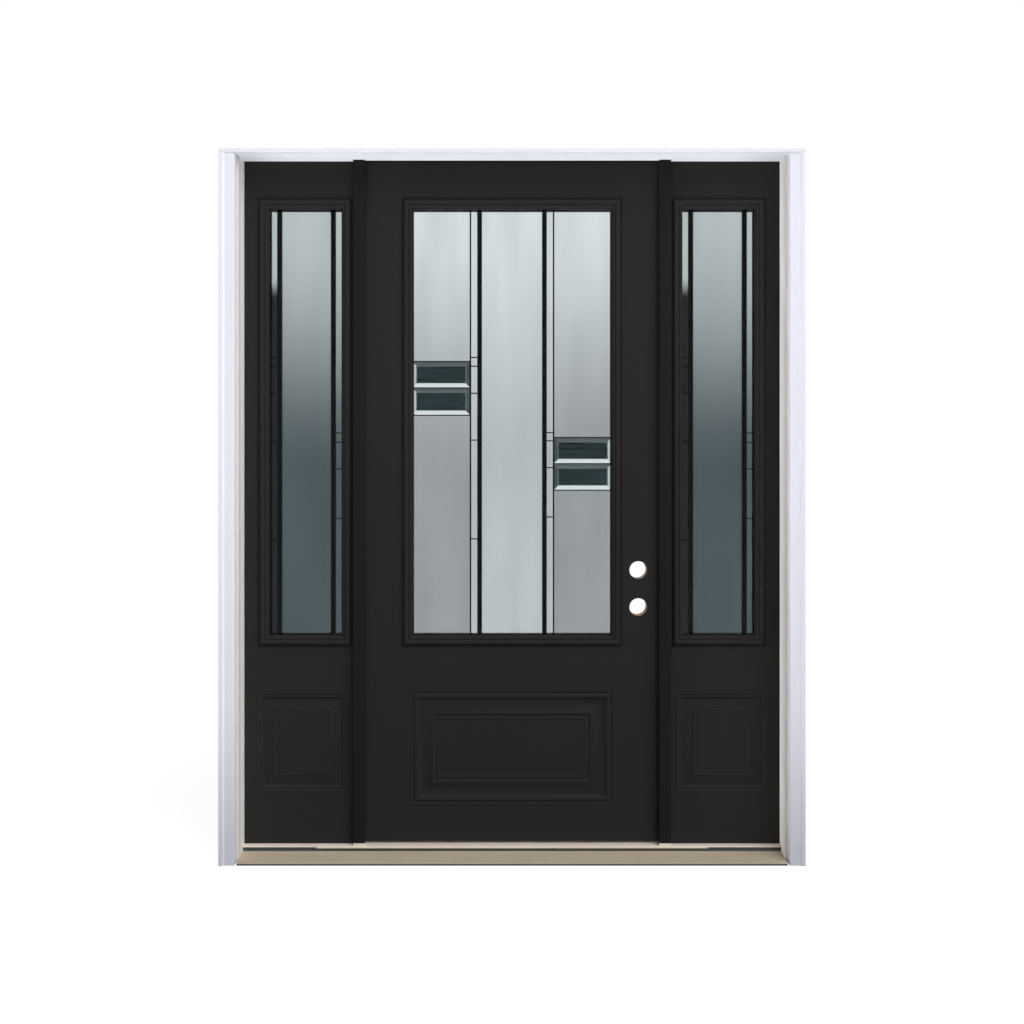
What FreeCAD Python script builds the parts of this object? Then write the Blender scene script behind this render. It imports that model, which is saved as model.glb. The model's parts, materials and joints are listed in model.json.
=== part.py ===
"""Inswing entry door between two fixed sidelights, in one frame with a sill and exterior casing.

X runs to the right as seen from outside, Y into the building, Z up, all in millimetres.
The origin is under the middle of the sill, level with the exterior face of the jambs.
"""

import FreeCAD, Part
import os
import re

# Driving dimensions, in millimetres
SIZES = {
    # Door slab: two skins on a core of stiles and rails
    "slab_width": 908,
    "slab_height": 2068,
    "slab_thickness": 44.5,
    "skin_thickness": 10,
    # Running gaps of the door in its frame
    "edge_gap": 7,
    "head_gap": 5,
    "cap_gap": 5,
    "sweep_height": 4,
    "sweep_inset": 4,
    # Stops and their weather seal, on the exterior side of the slab
    "stop_depth": 60,
    "stop_lap": 9,
    "seal_thickness": 5,
    "seal_clearance": 5,
    "seal_margin": 2,
    "interior_reveal": 1.5,
    # Mull posts, side jambs and head jamb
    "mull_web": 13,
    "mull_setback": 48,
    "jamb_web": 12,
    "jamb_lap": 12,
    "head_web": 9,
    "head_lap": 5,
    # Sidelight slabs, bearing on their stops
    "sidelight_width": 350,
    "sidelight_fit": 1,
    "sidelight_lap": 5,
    # Exterior casing
    "casing_width": 47,
    "casing_thickness": 32,
    "casing_reveal": 6,
    "casing_band": 13,
    "casing_step": 4,
    "head_casing_width": 11,
    "head_reveal": 1,
    # Sill
    "sill_nose": 28,
    "sill_base_thickness": 5,
    "sill_riser_height": 27,
    "riser_lead": 20,
    "deck_front": 3,
    "deck_rear": 11,
    "cap_thickness": 4,
    "cap_overhang": 4,
    # Glazing: the same moulding holds all three lites, level with each other
    "lite_rise": 625,
    "lite_head_margin": 150,
    "door_lite_margin": 154,
    "sidelight_inner_margin": 7,
    "sidelight_outer_margin": 51,
    "lite_rail_width": 37,
    "lite_proud": 12,
    "lite_face_draft": 4,
    "lite_sight_draft": 13,
    "lite_leg": 16,
    "lite_fit": 1,
    "pane_thickness": 4,
    "spacer_width": 12,
    # Embossed panels under the lites
    "panel_recess": 7,
    "panel_field_drop": 1.5,
    "panel_edge": 18,
    "panel_bevel": 30,
    "door_panel_margin": 148,
    "door_panel_height": 341,
    "door_panel_rise": 112,
    "door_panel_border": 82,
    "sidelight_panel_inner_margin": 27,
    "sidelight_panel_outer_margin": 52,
    "sidelight_panel_height": 296,
    "sidelight_panel_rise": 151,
    "sidelight_panel_border": 50,
    # Lock bores
    "bore_diameter": 54,
    "bore_backset": 70,
    "lower_bore_rise": 709,
    "bore_spacing": 112.5,
    # Butt hinges
    "hinge_height": 102,
    "hinge_inset": 190,
    "leaf_thickness": 3,
    "leaf_width": 30,
    "knuckle_radius": 6.5,
    "knuckle_offset": 9,
    "knuckle_clearance": 1,
    "pin_radius": 3,
    "pin_clearance": 0.4,
    "knuckle_play": 0.5,
}

# Planes across the opening, from the middle outwards on one side
HALF_SLAB = "(slab_width / 2)"
DOOR_STOP = f"({HALF_SLAB} - stop_lap)"
DOOR_RABBET = f"({HALF_SLAB} + edge_gap)"
MULL_BACK = f"({DOOR_RABBET} + mull_web)"
SIDELIGHT_INNER = f"({MULL_BACK} + sidelight_fit)"
MULL_NOSE = f"({SIDELIGHT_INNER} + sidelight_lap)"
SIDELIGHT_OUTER = f"({SIDELIGHT_INNER} + sidelight_width)"
JAMB_FACE = f"({SIDELIGHT_OUTER} - jamb_lap)"
JAMB_RABBET = f"({SIDELIGHT_OUTER} + sidelight_fit)"
JAMB_OUTER = f"({JAMB_RABBET} + jamb_web)"
CASING_INNER = f"({JAMB_FACE} + casing_reveal)"
CASING_OUTER = f"({CASING_INNER} + casing_width)"

# Planes through the wall, from outside to inside
SLAB_FACE = "(stop_depth + seal_thickness + seal_clearance)"
CORE_FACE = f"({SLAB_FACE} + skin_thickness)"
SLAB_BACK = f"({SLAB_FACE} + slab_thickness)"
CORE_BACK = f"({SLAB_BACK} - skin_thickness)"
JAMB_BACK = f"({SLAB_BACK} + interior_reveal)"
RISER_FACE = f"({SLAB_FACE} - riser_lead)"

# Heights
CAP_TOP = "(sill_riser_height + cap_thickness)"
SWEEP_BOTTOM = f"({CAP_TOP} + cap_gap)"
SLAB_BOTTOM = f"({SWEEP_BOTTOM} + sweep_height)"
SLAB_TOP = f"({SLAB_BOTTOM} + slab_height)"
SOFFIT = f"({SLAB_TOP} - head_lap)"
HEAD_RABBET = f"({SLAB_TOP} + head_gap)"
HEAD_TOP = f"({HEAD_RABBET} + head_web)"
HEAD_CASING_BOTTOM = f"({SOFFIT} + head_reveal)"
HEAD_CASING_TOP = f"({HEAD_CASING_BOTTOM} + head_casing_width)"
SIGHT_BOTTOM = f"({SLAB_BOTTOM} + lite_rise)"
SIGHT_TOP = f"({SLAB_TOP} - lite_head_margin)"
CUTOUT_BOTTOM = f"({SIGHT_BOTTOM} - lite_leg - lite_fit)"
CUTOUT_TOP = f"({SIGHT_TOP} + lite_leg + lite_fit)"
LOWER_BORE = f"({SLAB_BOTTOM} + lower_bore_rise)"

# Hinge axis, on the left edge of the door and inside the building
HINGE_X = f"(-{HALF_SLAB} - edge_gap / 2)"
HINGE_Y = f"({SLAB_BACK} + knuckle_offset)"

SIDES = ("left", "right")

doc = FreeCAD.newDocument("DoorWithSidelights")
nodes = []


def make_sheet():
    """Write one row for each driving dimension: its name, and its value under that alias."""
    sheet = doc.addObject("Spreadsheet::Sheet", "Sizes")
    for row, (name, value) in enumerate(SIZES.items(), start=1):
        sheet.set(f"A{row}", name)
        sheet.set(f"B{row}", str(value))
        sheet.setAlias(f"B{row}", name)
    doc.recompute()


def cells(expression):
    """Turn the size names in an expression into references to the sheet."""
    return re.sub(r"[a-z]+(_[a-z]+)*", lambda word: "Sizes." + word.group(0), expression)


def node(label, piece):
    """Keep a finished sub-part under the name that its file gets."""
    piece.Label = label
    nodes.append(piece)
    return piece


def across(side, low, high):
    """The span from low to high on the right of the door, or its mirror image on the left."""
    if side == "left":
        return f"-({high})", f"-({low})"
    return low, high


def block(name, x_span, y_span, z_span):
    """A box between the low and high expressions of each axis."""
    piece = doc.addObject("Part::Box", name)
    for axis, edge, (low, high) in zip("xyz", ("Length", "Width", "Height"), (x_span, y_span, z_span)):
        piece.setExpression(f"Placement.Base.{axis}", cells(low))
        piece.setExpression(edge, cells(f"({high}) - ({low})"))
    return piece


def taper(name, front, back):
    """A frustum along Y between two rectangles, each given as y, x span and z span."""
    piece = doc.addObject("Part::Wedge", name)
    for (y, x_span, z_span), y_edge, mark in ((front, "Ymin", ""), (back, "Ymax", "2")):
        piece.setExpression(y_edge, cells(y))
        piece.setExpression(f"X{mark}min", cells(x_span[0]))
        piece.setExpression(f"X{mark}max", cells(x_span[1]))
        piece.setExpression(f"Z{mark}min", cells(z_span[0]))
        piece.setExpression(f"Z{mark}max", cells(z_span[1]))
    return piece


def rod(name, radius, x, y, z_span):
    """An upright cylinder."""
    piece = doc.addObject("Part::Cylinder", name)
    piece.setExpression("Radius", cells(radius))
    piece.setExpression("Height", cells(f"({z_span[1]}) - ({z_span[0]})"))
    for axis, place in zip("xyz", (x, y, z_span[0])):
        piece.setExpression(f"Placement.Base.{axis}", cells(place))
    return piece


def fuse(name, *pieces):
    """Join solids that meet into one."""
    joined = doc.addObject("Part::MultiFuse", name)
    joined.Shapes = list(pieces)
    joined.Refine = True
    return joined


def cut(name, base, *tools):
    """Take one or more tools away from a base."""
    piece = doc.addObject("Part::Cut", name)
    piece.Base = base
    piece.Tool = tools[0] if len(tools) == 1 else fuse(f"{name}_tools", *tools)
    return piece


def group(name, *pieces):
    """Hold like solids that do not touch as one sub-part."""
    held = doc.addObject("Part::Compound", name)
    held.Links = list(pieces)
    return held


def grown(span, amount):
    """A span widened by an amount at both ends."""
    return f"({span[0]}) - ({amount})", f"({span[1]}) + ({amount})"


def shrunk(span, amount):
    """A span narrowed by an amount at both ends."""
    return f"({span[0]}) + ({amount})", f"({span[1]}) - ({amount})"


def make_sill():
    """Sill base with its rear riser, the sloped deck, and the caps under door, posts and sidelights."""
    run = (f"-{JAMB_FACE}", JAMB_FACE)
    plate = block("sill_plate", run, ("-sill_nose", JAMB_BACK), ("0", "sill_base_thickness"))
    riser = block("sill_riser", run, (RISER_FACE, JAMB_BACK), ("sill_base_thickness", "sill_riser_height"))
    node("sill_base", fuse("sill_base", plate, riser))

    front_z = ("sill_base_thickness", "sill_base_thickness + deck_front")
    rear_z = ("sill_base_thickness", "sill_base_thickness + deck_rear")
    node("sill_deck", taper("sill_deck", ("-sill_nose", run, front_z), (RISER_FACE, run, rear_z)))

    cap_y = (f"{RISER_FACE} - cap_overhang", JAMB_BACK)
    cap_z = ("sill_riser_height", CAP_TOP)
    node("threshold_cap", block("threshold_cap", (f"-{MULL_NOSE}", MULL_NOSE), cap_y, cap_z))
    caps = [block(f"{side}_cap", across(side, MULL_NOSE, JAMB_FACE), cap_y, cap_z) for side in SIDES]
    node("sidelight_sill_caps", group("sidelight_sill_caps", *caps))


def make_frame():
    """Side jambs, mull posts standing on the threshold cap, and the head jamb over all of them."""
    full_depth = ("0", JAMB_BACK)
    mull_z = (CAP_TOP, SOFFIT)
    for side in SIDES:
        post = block(f"{side}_jamb_stock", across(side, JAMB_FACE, JAMB_OUTER), full_depth, ("0", SOFFIT))
        rabbet = block(f"{side}_jamb_rabbet", across(side, JAMB_FACE, JAMB_RABBET),
                       (SLAB_FACE, JAMB_BACK), ("0", SOFFIT))
        node(f"{side}_jamb", cut(f"{side}_jamb", post, rabbet))

        stock = block(f"{side}_mull_stock", across(side, DOOR_STOP, MULL_NOSE),
                      ("mull_setback", JAMB_BACK), mull_z)
        door_side = block(f"{side}_mull_door_rabbet", across(side, DOOR_STOP, DOOR_RABBET),
                          ("stop_depth", JAMB_BACK), mull_z)
        light_side = block(f"{side}_mull_light_rabbet", across(side, MULL_BACK, MULL_NOSE),
                           (SLAB_FACE, JAMB_BACK), mull_z)
        node(f"{side}_mull_post", cut(f"{side}_mull_post", stock, door_side, light_side))

    head = block("head_stock", (f"-{JAMB_OUTER}", JAMB_OUTER), full_depth, (SOFFIT, HEAD_TOP))
    pocket_z = (SOFFIT, HEAD_RABBET)
    door_pocket = block("door_pocket", (f"-{DOOR_RABBET}", DOOR_RABBET), ("stop_depth", JAMB_BACK), pocket_z)
    light_pockets = [
        block(f"{side}_pocket", across(side, MULL_BACK, JAMB_RABBET), (SLAB_FACE, JAMB_BACK), pocket_z)
        for side in SIDES
    ]
    node("head_jamb", cut("head_jamb", head, door_pocket, *light_pockets))


def make_casing():
    """Exterior casing: side pieces with a raised outer band, butted under the head piece."""
    depth = ("-casing_thickness", "0")
    for side in SIDES:
        height = ("0", HEAD_CASING_BOTTOM)
        field = block(f"{side}_casing_field", across(side, CASING_INNER, CASING_OUTER),
                      ("casing_step - casing_thickness", "0"), height)
        band = block(f"{side}_casing_band", across(side, f"{CASING_OUTER} - casing_band", CASING_OUTER),
                     depth, height)
        node(f"{side}_casing", fuse(f"{side}_casing", field, band))
    node("head_casing", block("head_casing", (f"-{CASING_OUTER}", CASING_OUTER), depth,
                              (HEAD_CASING_BOTTOM, HEAD_CASING_TOP)))


def make_weather_seal():
    """Compression seal on the door's three stops, clear of the closed slab."""
    depth = ("stop_depth", "stop_depth + seal_thickness")
    width = (f"{DOOR_STOP} + seal_margin", f"{DOOR_RABBET} - seal_margin")
    strips = [block(f"{side}_seal", across(side, *width), depth, (CAP_TOP, SOFFIT)) for side in SIDES]
    head_x = (f"-{DOOR_RABBET} + seal_margin", f"{DOOR_RABBET} - seal_margin")
    head_z = (f"{SOFFIT} + seal_margin", f"{HEAD_RABBET} - seal_margin")
    node("weather_seal", group("weather_seal", *strips, block("head_seal", head_x, depth, head_z)))


def make_lite(prefix, sight_x):
    """Glazing of one lite: a moulding on each face, two panes and the spacer between them."""
    sight_z = (SIGHT_BOTTOM, SIGHT_TOP)
    leg_x = grown(sight_x, "lite_leg")
    leg_z = grown(sight_z, "lite_leg")
    flange_x = grown(sight_x, "lite_rail_width")
    flange_z = grown(sight_z, "lite_rail_width")
    face_x = shrunk(flange_x, "lite_face_draft")
    face_z = shrunk(flange_z, "lite_face_draft")
    mouth_x = grown(sight_x, "lite_sight_draft")
    mouth_z = grown(sight_z, "lite_sight_draft")

    outer_face = f"{SLAB_FACE} - lite_proud"
    flange = taper(f"{prefix}_outer_flange", (outer_face, face_x, face_z), (SLAB_FACE, flange_x, flange_z))
    leg = block(f"{prefix}_outer_leg", leg_x, (SLAB_FACE, CORE_FACE), leg_z)
    mouth = taper(f"{prefix}_outer_mouth", (outer_face, mouth_x, mouth_z), (CORE_FACE, sight_x, sight_z))
    rail = fuse(f"{prefix}_outer_rail", flange, leg)
    node(f"{prefix}_outer_lite_frame", cut(f"{prefix}_outer_lite_frame", rail, mouth))

    inner_face = f"{SLAB_BACK} + lite_proud"
    flange = taper(f"{prefix}_inner_flange", (SLAB_BACK, flange_x, flange_z), (inner_face, face_x, face_z))
    leg = block(f"{prefix}_inner_leg", leg_x, (CORE_BACK, SLAB_BACK), leg_z)
    mouth = taper(f"{prefix}_inner_mouth", (CORE_BACK, sight_x, sight_z), (inner_face, mouth_x, mouth_z))
    rail = fuse(f"{prefix}_inner_rail", flange, leg)
    node(f"{prefix}_inner_lite_frame", cut(f"{prefix}_inner_lite_frame", rail, mouth))

    outer_gap = f"{CORE_FACE} + pane_thickness"
    inner_gap = f"{CORE_BACK} - pane_thickness"
    outer_pane = block(f"{prefix}_outer_pane", leg_x, (CORE_FACE, outer_gap), leg_z)
    inner_pane = block(f"{prefix}_inner_pane", leg_x, (inner_gap, CORE_BACK), leg_z)
    node(f"{prefix}_glass", group(f"{prefix}_glass", outer_pane, inner_pane))

    ring = block(f"{prefix}_spacer_ring", leg_x, (outer_gap, inner_gap), leg_z)
    hollow = block(f"{prefix}_spacer_hollow", shrunk(leg_x, "spacer_width"), (outer_gap, inner_gap),
                   shrunk(leg_z, "spacer_width"))
    node(f"{prefix}_spacer", cut(f"{prefix}_spacer", ring, hollow))


def make_skins(prefix, slab_x, slab_z, sight_x, panel, bores=()):
    """Outer and inner skin of one slab, each with the lite's cut-out and an embossed panel."""
    panel_x, panel_z, border = panel
    floor_x = shrunk(panel_x, "panel_edge")
    floor_z = shrunk(panel_z, "panel_edge")
    field_x = shrunk(panel_x, border)
    field_z = shrunk(panel_z, border)
    foot_x = grown(field_x, "panel_bevel")
    foot_z = grown(field_z, "panel_bevel")
    cutout_x = grown(sight_x, "lite_leg + lite_fit")
    cutout_z = (CUTOUT_BOTTOM, CUTOUT_TOP)

    depth = (SLAB_FACE, CORE_FACE)
    floor_y = f"{SLAB_FACE} + panel_recess"
    sheet = block(f"{prefix}_outer_sheet", slab_x, depth, slab_z)
    opening = block(f"{prefix}_outer_opening", cutout_x, depth, cutout_z)
    recess = taper(f"{prefix}_outer_recess", (SLAB_FACE, panel_x, panel_z), (floor_y, floor_x, floor_z))
    field = taper(f"{prefix}_outer_field", (f"{SLAB_FACE} + panel_field_drop", field_x, field_z),
                  (floor_y, foot_x, foot_z))
    hollow = cut(f"{prefix}_outer_hollow", sheet, opening, recess, *bores)
    node(f"{prefix}_outer_skin", fuse(f"{prefix}_outer_skin", hollow, field))

    depth = (CORE_BACK, SLAB_BACK)
    floor_y = f"{SLAB_BACK} - panel_recess"
    sheet = block(f"{prefix}_inner_sheet", slab_x, depth, slab_z)
    opening = block(f"{prefix}_inner_opening", cutout_x, depth, cutout_z)
    recess = taper(f"{prefix}_inner_recess", (floor_y, floor_x, floor_z), (SLAB_BACK, panel_x, panel_z))
    field = taper(f"{prefix}_inner_field", (floor_y, foot_x, foot_z),
                  (f"{SLAB_BACK} - panel_field_drop", field_x, field_z))
    hollow = cut(f"{prefix}_inner_hollow", sheet, opening, recess, *bores)
    node(f"{prefix}_inner_skin", fuse(f"{prefix}_inner_skin", hollow, field))


def panel_spans(name, x_span):
    """Spans and border of the embossed panel under a lite."""
    bottom = f"{SLAB_BOTTOM} + {name}_panel_rise"
    return x_span, (bottom, f"{bottom} + {name}_panel_height"), f"{name}_panel_border"


def make_bores():
    """The two cross bores for a lock, through the whole slab."""
    bores = []
    for name, height in (("lower_bore", LOWER_BORE), ("upper_bore", f"{LOWER_BORE} + bore_spacing")):
        bore = doc.addObject("Part::Cylinder", name)
        bore.Placement.Rotation = FreeCAD.Rotation(FreeCAD.Vector(1, 0, 0), -90)
        bore.setExpression("Radius", cells("bore_diameter / 2"))
        bore.setExpression("Height", cells("slab_thickness"))
        bore.setExpression("Placement.Base.x", cells(f"{HALF_SLAB} - bore_backset"))
        bore.setExpression("Placement.Base.y", cells(SLAB_FACE))
        bore.setExpression("Placement.Base.z", cells(height))
        bores.append(bore)
    return bores


def make_door():
    """Door slab: skins on stiles and rails, its lite, and the sweep under its bottom edge."""
    slab_x = (f"-{HALF_SLAB}", HALF_SLAB)
    slab_z = (SLAB_BOTTOM, SLAB_TOP)
    sight_x = shrunk(slab_x, "door_lite_margin")
    rail_x = grown(sight_x, "lite_leg + lite_fit")
    depth = (CORE_FACE, CORE_BACK)
    bores = make_bores()

    panel = panel_spans("door", shrunk(slab_x, "door_panel_margin"))
    make_skins("door", slab_x, slab_z, sight_x, panel, bores)
    node("hinge_stile", block("hinge_stile", (slab_x[0], rail_x[0]), depth, slab_z))
    lock_stock = block("lock_stock", (rail_x[1], slab_x[1]), depth, slab_z)
    node("lock_stile", cut("lock_stile", lock_stock, *bores))
    node("top_rail", block("top_rail", rail_x, depth, (CUTOUT_TOP, SLAB_TOP)))
    node("bottom_rail", block("bottom_rail", rail_x, depth, (SLAB_BOTTOM, CUTOUT_BOTTOM)))
    make_lite("door", sight_x)
    sweep_y = (f"{SLAB_FACE} + sweep_inset", f"{SLAB_BACK} - sweep_inset")
    node("door_sweep", block("door_sweep", slab_x, sweep_y, (SWEEP_BOTTOM, SLAB_BOTTOM)))


def make_sidelight(side):
    """One fixed sidelight slab, standing on its sill cap, with its lite nearer to the mull post."""
    slab_x = across(side, SIDELIGHT_INNER, SIDELIGHT_OUTER)
    slab_z = (CAP_TOP, SLAB_TOP)
    flange_x = across(side, f"{SIDELIGHT_INNER} + sidelight_inner_margin",
                      f"{SIDELIGHT_OUTER} - sidelight_outer_margin")
    sight_x = shrunk(flange_x, "lite_rail_width")
    panel_x = across(side, f"{SIDELIGHT_INNER} + sidelight_panel_inner_margin",
                     f"{SIDELIGHT_OUTER} - sidelight_panel_outer_margin")
    depth = (CORE_FACE, CORE_BACK)
    prefix = f"{side}_sidelight"

    make_skins(prefix, slab_x, slab_z, sight_x, panel_spans("sidelight", panel_x))
    core = block(f"{prefix}_core_stock", slab_x, depth, slab_z)
    opening = block(f"{prefix}_core_opening", grown(sight_x, "lite_leg + lite_fit"), depth,
                    (CUTOUT_BOTTOM, CUTOUT_TOP))
    node(f"{prefix}_core", cut(f"{prefix}_core", core, opening))
    make_lite(prefix, sight_x)


def make_hinges():
    """Three butt hinges: outer knuckles and pin on the frame leaf, middle knuckle on the door leaf."""
    lowest = f"({SLAB_BOTTOM} + hinge_inset)"
    highest = f"({SLAB_TOP} - hinge_inset - hinge_height)"
    bottoms = (lowest, f"(({lowest} + {highest}) / 2)", highest)
    leaf_y = (f"{SLAB_BACK} - leaf_width", HINGE_Y)
    frame_x = (f"-{DOOR_RABBET}", f"-{DOOR_RABBET} + leaf_thickness")
    door_x = (f"-{HALF_SLAB} - leaf_thickness", f"-{HALF_SLAB}")
    swept = "knuckle_radius + knuckle_clearance"

    frame_leaves = []
    door_leaves = []
    for count, bottom in enumerate(bottoms, start=1):
        top = f"{bottom} + hinge_height"
        low = f"{bottom} + hinge_height / 3"
        high = f"{bottom} + hinge_height * 2 / 3"
        leaf = block(f"frame_leaf_{count}", frame_x, leaf_y, (bottom, top))
        room = rod(f"frame_leaf_room_{count}", swept, HINGE_X, HINGE_Y,
                   (f"{low} - knuckle_play", f"{high} + knuckle_play"))
        plate = cut(f"frame_leaf_plate_{count}", leaf, room)
        lower = rod(f"lower_knuckle_{count}", "knuckle_radius", HINGE_X, HINGE_Y,
                    (bottom, f"{low} - knuckle_play"))
        upper = rod(f"upper_knuckle_{count}", "knuckle_radius", HINGE_X, HINGE_Y,
                    (f"{high} + knuckle_play", top))
        pin = rod(f"hinge_pin_{count}", "pin_radius", HINGE_X, HINGE_Y, (bottom, top))
        frame_leaves.append(fuse(f"frame_hinge_{count}", plate, lower, upper, pin))

        leaf = block(f"door_leaf_{count}", door_x, leaf_y, (bottom, top))
        rooms = [
            rod(f"door_leaf_low_room_{count}", swept, HINGE_X, HINGE_Y, (bottom, low)),
            rod(f"door_leaf_high_room_{count}", swept, HINGE_X, HINGE_Y, (high, top)),
        ]
        plate = cut(f"door_leaf_plate_{count}", leaf, *rooms)
        knuckle = rod(f"middle_knuckle_{count}", "knuckle_radius", HINGE_X, HINGE_Y, (low, high))
        hole = rod(f"pin_hole_{count}", "pin_radius + pin_clearance", HINGE_X, HINGE_Y, (low, high))
        solid = fuse(f"door_leaf_solid_{count}", plate, knuckle)
        door_leaves.append(cut(f"door_hinge_{count}", solid, hole))
    node("frame_hinge_leaves", group("frame_hinge_leaves", *frame_leaves))
    node("door_hinge_leaves", group("door_hinge_leaves", *door_leaves))


def check_model():
    """Stop before anything is written if an object failed or a sub-part has no valid shape."""
    for piece in doc.Objects:
        if "Invalid" in piece.State or "Error" in piece.State:
            raise RuntimeError(f"{piece.Name} failed: {piece.State}")
    for piece in nodes:
        if piece.Shape.isNull() or not piece.Shape.isValid():
            raise RuntimeError(f"{piece.Label} has no valid shape")


def write_parts():
    """Write each sub-part to a file of its own."""
    os.makedirs("parts", exist_ok=True)
    for piece in nodes:
        piece.Shape.exportStep(os.path.join("parts", f"{piece.Label}.step"))
        print(f"{piece.Label}: {len(piece.Shape.Solids)} solids, {piece.Shape.Volume / 1000:.1f} cm3")


make_sheet()
make_sill()
make_frame()
make_casing()
make_weather_seal()
make_door()
for light in SIDES:
    make_sidelight(light)
make_hinges()
doc.recompute()
check_model()
write_parts()
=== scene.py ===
"""Looks of an inswing entry door between two fixed sidelights: finishes, mouldings, leaded glass and studio.

Lengths are metres unless a name or comment says millimetres. X runs to the right seen from outside,
Y into the building and Z up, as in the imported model.
"""

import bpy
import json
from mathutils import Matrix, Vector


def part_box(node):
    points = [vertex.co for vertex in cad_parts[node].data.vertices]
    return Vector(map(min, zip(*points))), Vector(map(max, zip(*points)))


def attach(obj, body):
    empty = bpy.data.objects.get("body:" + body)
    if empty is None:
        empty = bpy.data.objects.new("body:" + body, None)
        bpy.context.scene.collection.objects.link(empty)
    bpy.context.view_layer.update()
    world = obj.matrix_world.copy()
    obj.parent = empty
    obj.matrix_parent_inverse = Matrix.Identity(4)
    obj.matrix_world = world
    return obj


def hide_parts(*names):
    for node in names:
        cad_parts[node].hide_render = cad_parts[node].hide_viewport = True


bl_info = {
    "name": "Entry door with sidelights",
    "version": (1, 0, 0),
    "blender": (4, 5, 0),
    "location": "View3D > Sidebar > Entry door",
    "description": "Finishes, mouldings, leaded glass and studio of an entry door between two sidelights",
    "category": "Object",
}

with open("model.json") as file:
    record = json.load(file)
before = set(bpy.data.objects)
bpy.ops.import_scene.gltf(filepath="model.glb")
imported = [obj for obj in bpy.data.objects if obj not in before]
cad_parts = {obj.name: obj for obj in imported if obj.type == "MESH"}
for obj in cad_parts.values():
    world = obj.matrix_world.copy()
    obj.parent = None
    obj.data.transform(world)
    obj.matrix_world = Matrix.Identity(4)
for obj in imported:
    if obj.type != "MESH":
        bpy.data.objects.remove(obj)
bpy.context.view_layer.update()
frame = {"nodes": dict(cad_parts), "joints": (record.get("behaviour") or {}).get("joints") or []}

import json
from math import radians

import bmesh
import bpy
import numpy as np
from bpy.props import FloatProperty, FloatVectorProperty, IntProperty, PointerProperty
from bpy.types import NodeSocket, Operator, Panel, PropertyGroup
from mathutils import Vector

MM = 0.001
SIDES = {"left": -1, "right": 1}
SLABS = {"door": "door", "left_sidelight": "frame", "right_sidelight": "frame"}
FACES = ("outer", "inner")
SHARP_EDGE = radians(35)

# Axes that a profile is drawn in: plan for what stands upright, section for what runs from side to side
PLAN = [0, 1]
SECTION = [1, 2]

# Corners closer than this are one, and small roundings of edges
MERGED_CORNER = 0.01 * MM
PANEL_EASE = 0.8 * MM
LITE_EASE = 1.1 * MM
CAME_EASE = 1.2 * MM
BAR_EASE = 1.0 * MM
GLASS_EASE = 0.5 * MM
SWEEP_EASE = 0.6 * MM

# Points across the sill deck, enough for its ribs
DECK_STEPS = 160


def linear(code):
    """Linear colour of an sRGB hex value: ((c + 0.055) / 1.055) ** 2.4, or c / 12.92 where dark."""
    srgb = np.array([int(code[place:place + 2], 16) for place in (1, 3, 5)]) / 255
    rgb = np.where(srgb > 0.04045, ((srgb + 0.055) / 1.055) ** 2.4, srgb / 12.92)
    return (*rgb.tolist(), 1.0)


def length(name, description, millimetres):
    """A length that a user may change."""
    return FloatProperty(name=name, description=description, default=millimetres * MM, min=0,
                         precision=4, unit="LENGTH", subtype="DISTANCE")


def colour(name, description, code):
    """A colour that a user may change, from its sRGB hex value."""
    return FloatVectorProperty(name=name, description=description, default=linear(code), size=4,
                               min=0, max=1, subtype="COLOR")


class DoorFinishes(PropertyGroup):
    """Colours of the unit's materials."""
    black_paint: colour("Black paint", "Satin paint on the moulded skins", "#2B2B2B")
    casing_white: colour("Casing white", "Painted exterior casing", "#E8EAF3")
    jamb_cream: colour("Jamb cream", "Primed timber of the jambs", "#F1ECE7")
    deck_taupe: colour("Deck taupe", "Anodised sill deck", "#BCAE9C")
    cap_tan: colour("Cap tan", "Moulded sill caps", "#E6DACB")
    base_slate: colour("Base slate", "Dark composite under the deck", "#3A4240")
    timber: colour("Timber", "Laminated edges of the slabs", "#A9804F")
    pane: colour("Pane", "Clear outer and inner panes", "#F6F8F8")
    door_field: colour("Door field", "Pale decorative sheet in the door", "#E2E7EA")
    sidelight_top: colour("Sidelight top", "Grey sheet of the sidelights at its head", "#C4CBCD")
    sidelight_foot: colour("Sidelight foot", "Grey sheet of the sidelights at its foot", "#4E5A5E")
    tile: colour("Tile", "Smoked middle of the bevelled tiles", "#162426")
    tile_rim: colour("Tile rim", "Clear ground rim of the bevelled tiles", "#E4ECEC")
    came: colour("Came", "Black patina on the metal cames", "#070809")
    spacer: colour("Spacer", "Mill finished spacer bars", "#9A9CA0")
    nickel: colour("Nickel", "Satin plating of the hinges", "#B9B7B2")
    seal: colour("Seal", "Foam and vinyl seals", "#24241F")


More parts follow.
